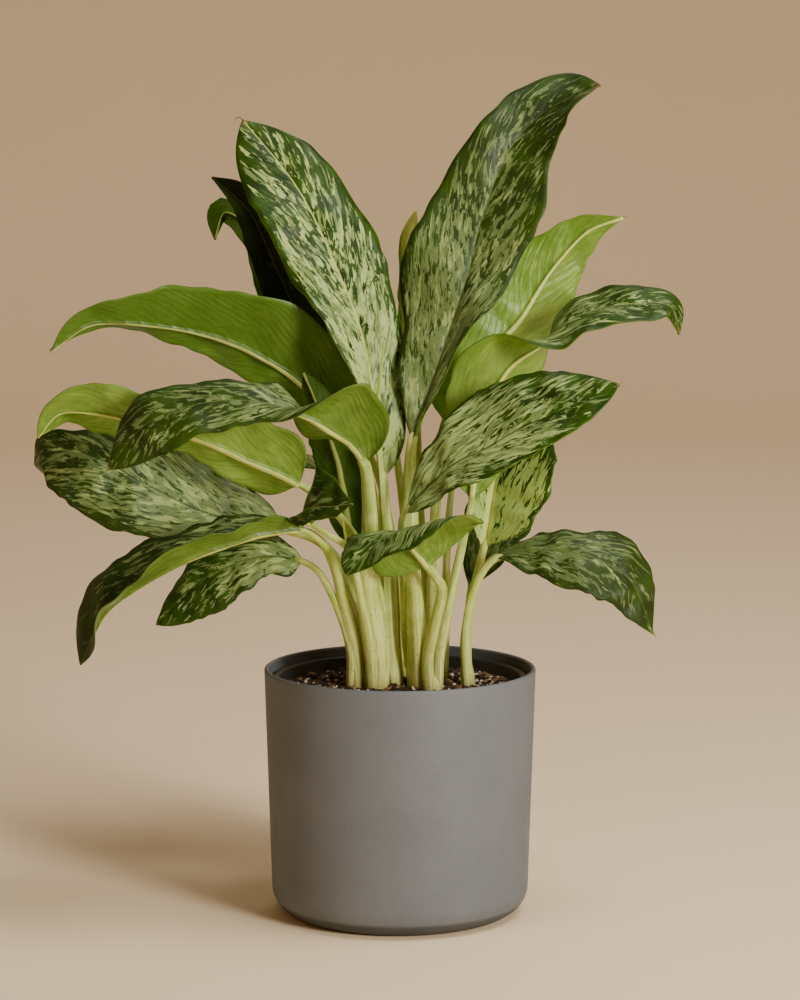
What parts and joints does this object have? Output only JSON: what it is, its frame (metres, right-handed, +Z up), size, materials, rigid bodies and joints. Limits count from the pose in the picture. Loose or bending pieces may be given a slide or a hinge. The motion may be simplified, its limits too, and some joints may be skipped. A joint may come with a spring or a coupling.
{
  "type": "potted chinese evergreen",
  "caption": "Bushy foliage plant with broad silver and green flecked leaves on pale stalks, in a nursery pot inside a plain matte grey cylindrical cover pot.",
  "frame": {"origin": "centre of the cover pot's flat foot, on the surface that it stands on", "axes": "+Z up along the pot's axis, -Y towards the plant's front, +X to the front viewer's right"},
  "size_m": [0.4237, 0.338, 0.5488],
  "materials": {
    "cover_pot": "matte warm grey, faintly grainy, darker on the inside",
    "nursery_pot": "thin dark plastic",
    "potting_soil": "dark moist peat and bark with pale grit",
    "shoot_left": "satin pale yellow-green stalks with lengthwise streaks",
    "shoot_front_left": "satin pale yellow-green stalks with lengthwise streaks",
    "shoot_centre": "satin pale yellow-green stalks with lengthwise streaks",
    "shoot_centre_right": "satin pale yellow-green stalks with lengthwise streaks",
    "shoot_front_right": "satin pale yellow-green stalks with lengthwise streaks",
    "shoot_right": "satin pale yellow-green stalks with lengthwise streaks",
    "shoot_back_right": "satin pale yellow-green stalks with lengthwise streaks",
    "shoot_back_left": "satin pale yellow-green stalks with lengthwise streaks",
    "leaf_tall_left": "soft gloss, silvery green flecked with dark green, yellow-green rim",
    "leaf_tall_right": "soft gloss, silvery green flecked with dark green, yellow-green rim",
    "leaf_front_left": "soft gloss, silvery green flecked with dark green, yellow-green rim",
    "leaf_arching_left": "soft gloss, silvery green flecked with dark green, yellow-green rim",
    "leaf_side_left": "soft gloss, silvery green flecked with dark green, yellow-green rim",
    "leaf_broad_left": "soft gloss, silvery green flecked with dark green, yellow-green rim",
    "leaf_drooping_left": "soft gloss, silvery green flecked with dark green, yellow-green rim",
    "leaf_low_left": "soft gloss, silvery green flecked with dark green, yellow-green rim",
    "leaf_small_front": "soft gloss, silvery green flecked with dark green, yellow-green rim",
    "leaf_front_centre": "soft gloss, silvery green flecked with dark green, yellow-green rim",
    "leaf_front_right": "soft gloss, silvery green flecked with dark green, yellow-green rim",
    "leaf_upright_right": "soft gloss, silvery green flecked with dark green, yellow-green rim",
    "leaf_arching_right": "soft gloss, silvery green flecked with dark green, yellow-green rim",
    "leaf_inner_right": "soft gloss, silvery green flecked with dark green, yellow-green rim",
    "leaf_shaded_right": "soft gloss, silvery green flecked with dark green, yellow-green rim",
    "leaf_low_right": "soft gloss, silvery green flecked with dark green, yellow-green rim",
    "leaf_dark_back_left": "soft gloss, silvery green flecked with dark green, yellow-green rim",
    "leaf_curled_back_left": "soft gloss, silvery green flecked with dark green, yellow-green rim",
    "leaf_narrow_back": "soft gloss, silvery green flecked with dark green, yellow-green rim",
    "leaf_inner_left": "soft gloss, silvery green flecked with dark green, yellow-green rim",
    "leaf_rear_left": "soft gloss, silvery green flecked with dark green, yellow-green rim",
    "leaf_rear_right": "soft gloss, silvery green flecked with dark green, yellow-green rim",
    "leaf_rear_low_left": "soft gloss, silvery green flecked with dark green, yellow-green rim",
    "leaf_rear_low_right": "soft gloss, silvery green flecked with dark green, yellow-green rim"
  },
  "bodies": {
    "root": {"cover_pot": "cover_pot", "nursery_pot": "nursery_pot", "potting_soil": "potting_soil", "shoot_left": "shoot_left", "shoot_front_left": "shoot_front_left", "shoot_centre": "shoot_centre", "shoot_centre_right": "shoot_centre_right", "shoot_front_right": "shoot_front_right", "shoot_right": "shoot_right", "shoot_back_right": "shoot_back_right", "shoot_back_left": "shoot_back_left", "leaf_tall_left": "leaf_tall_left", "leaf_tall_right": "leaf_tall_right", "leaf_front_left": "leaf_front_left", "leaf_arching_left": "leaf_arching_left", "leaf_side_left": "leaf_side_left", "leaf_broad_left": "leaf_broad_left", "leaf_drooping_left": "leaf_drooping_left", "leaf_low_left": "leaf_low_left", "leaf_small_front": "leaf_small_front", "leaf_front_centre": "leaf_front_centre", "leaf_front_right": "leaf_front_right", "leaf_upright_right": "leaf_upright_right", "leaf_arching_right": "leaf_arching_right", "leaf_inner_right": "leaf_inner_right", "leaf_shaded_right": "leaf_shaded_right", "leaf_low_right": "leaf_low_right", "leaf_dark_back_left": "leaf_dark_back_left", "leaf_curled_back_left": "leaf_curled_back_left", "leaf_narrow_back": "leaf_narrow_back", "leaf_inner_left": "leaf_inner_left", "leaf_rear_left": "leaf_rear_left", "leaf_rear_right": "leaf_rear_right", "leaf_rear_low_left": "leaf_rear_low_left", "leaf_rear_low_right": "leaf_rear_low_right"}
  },
  "joints": []
}
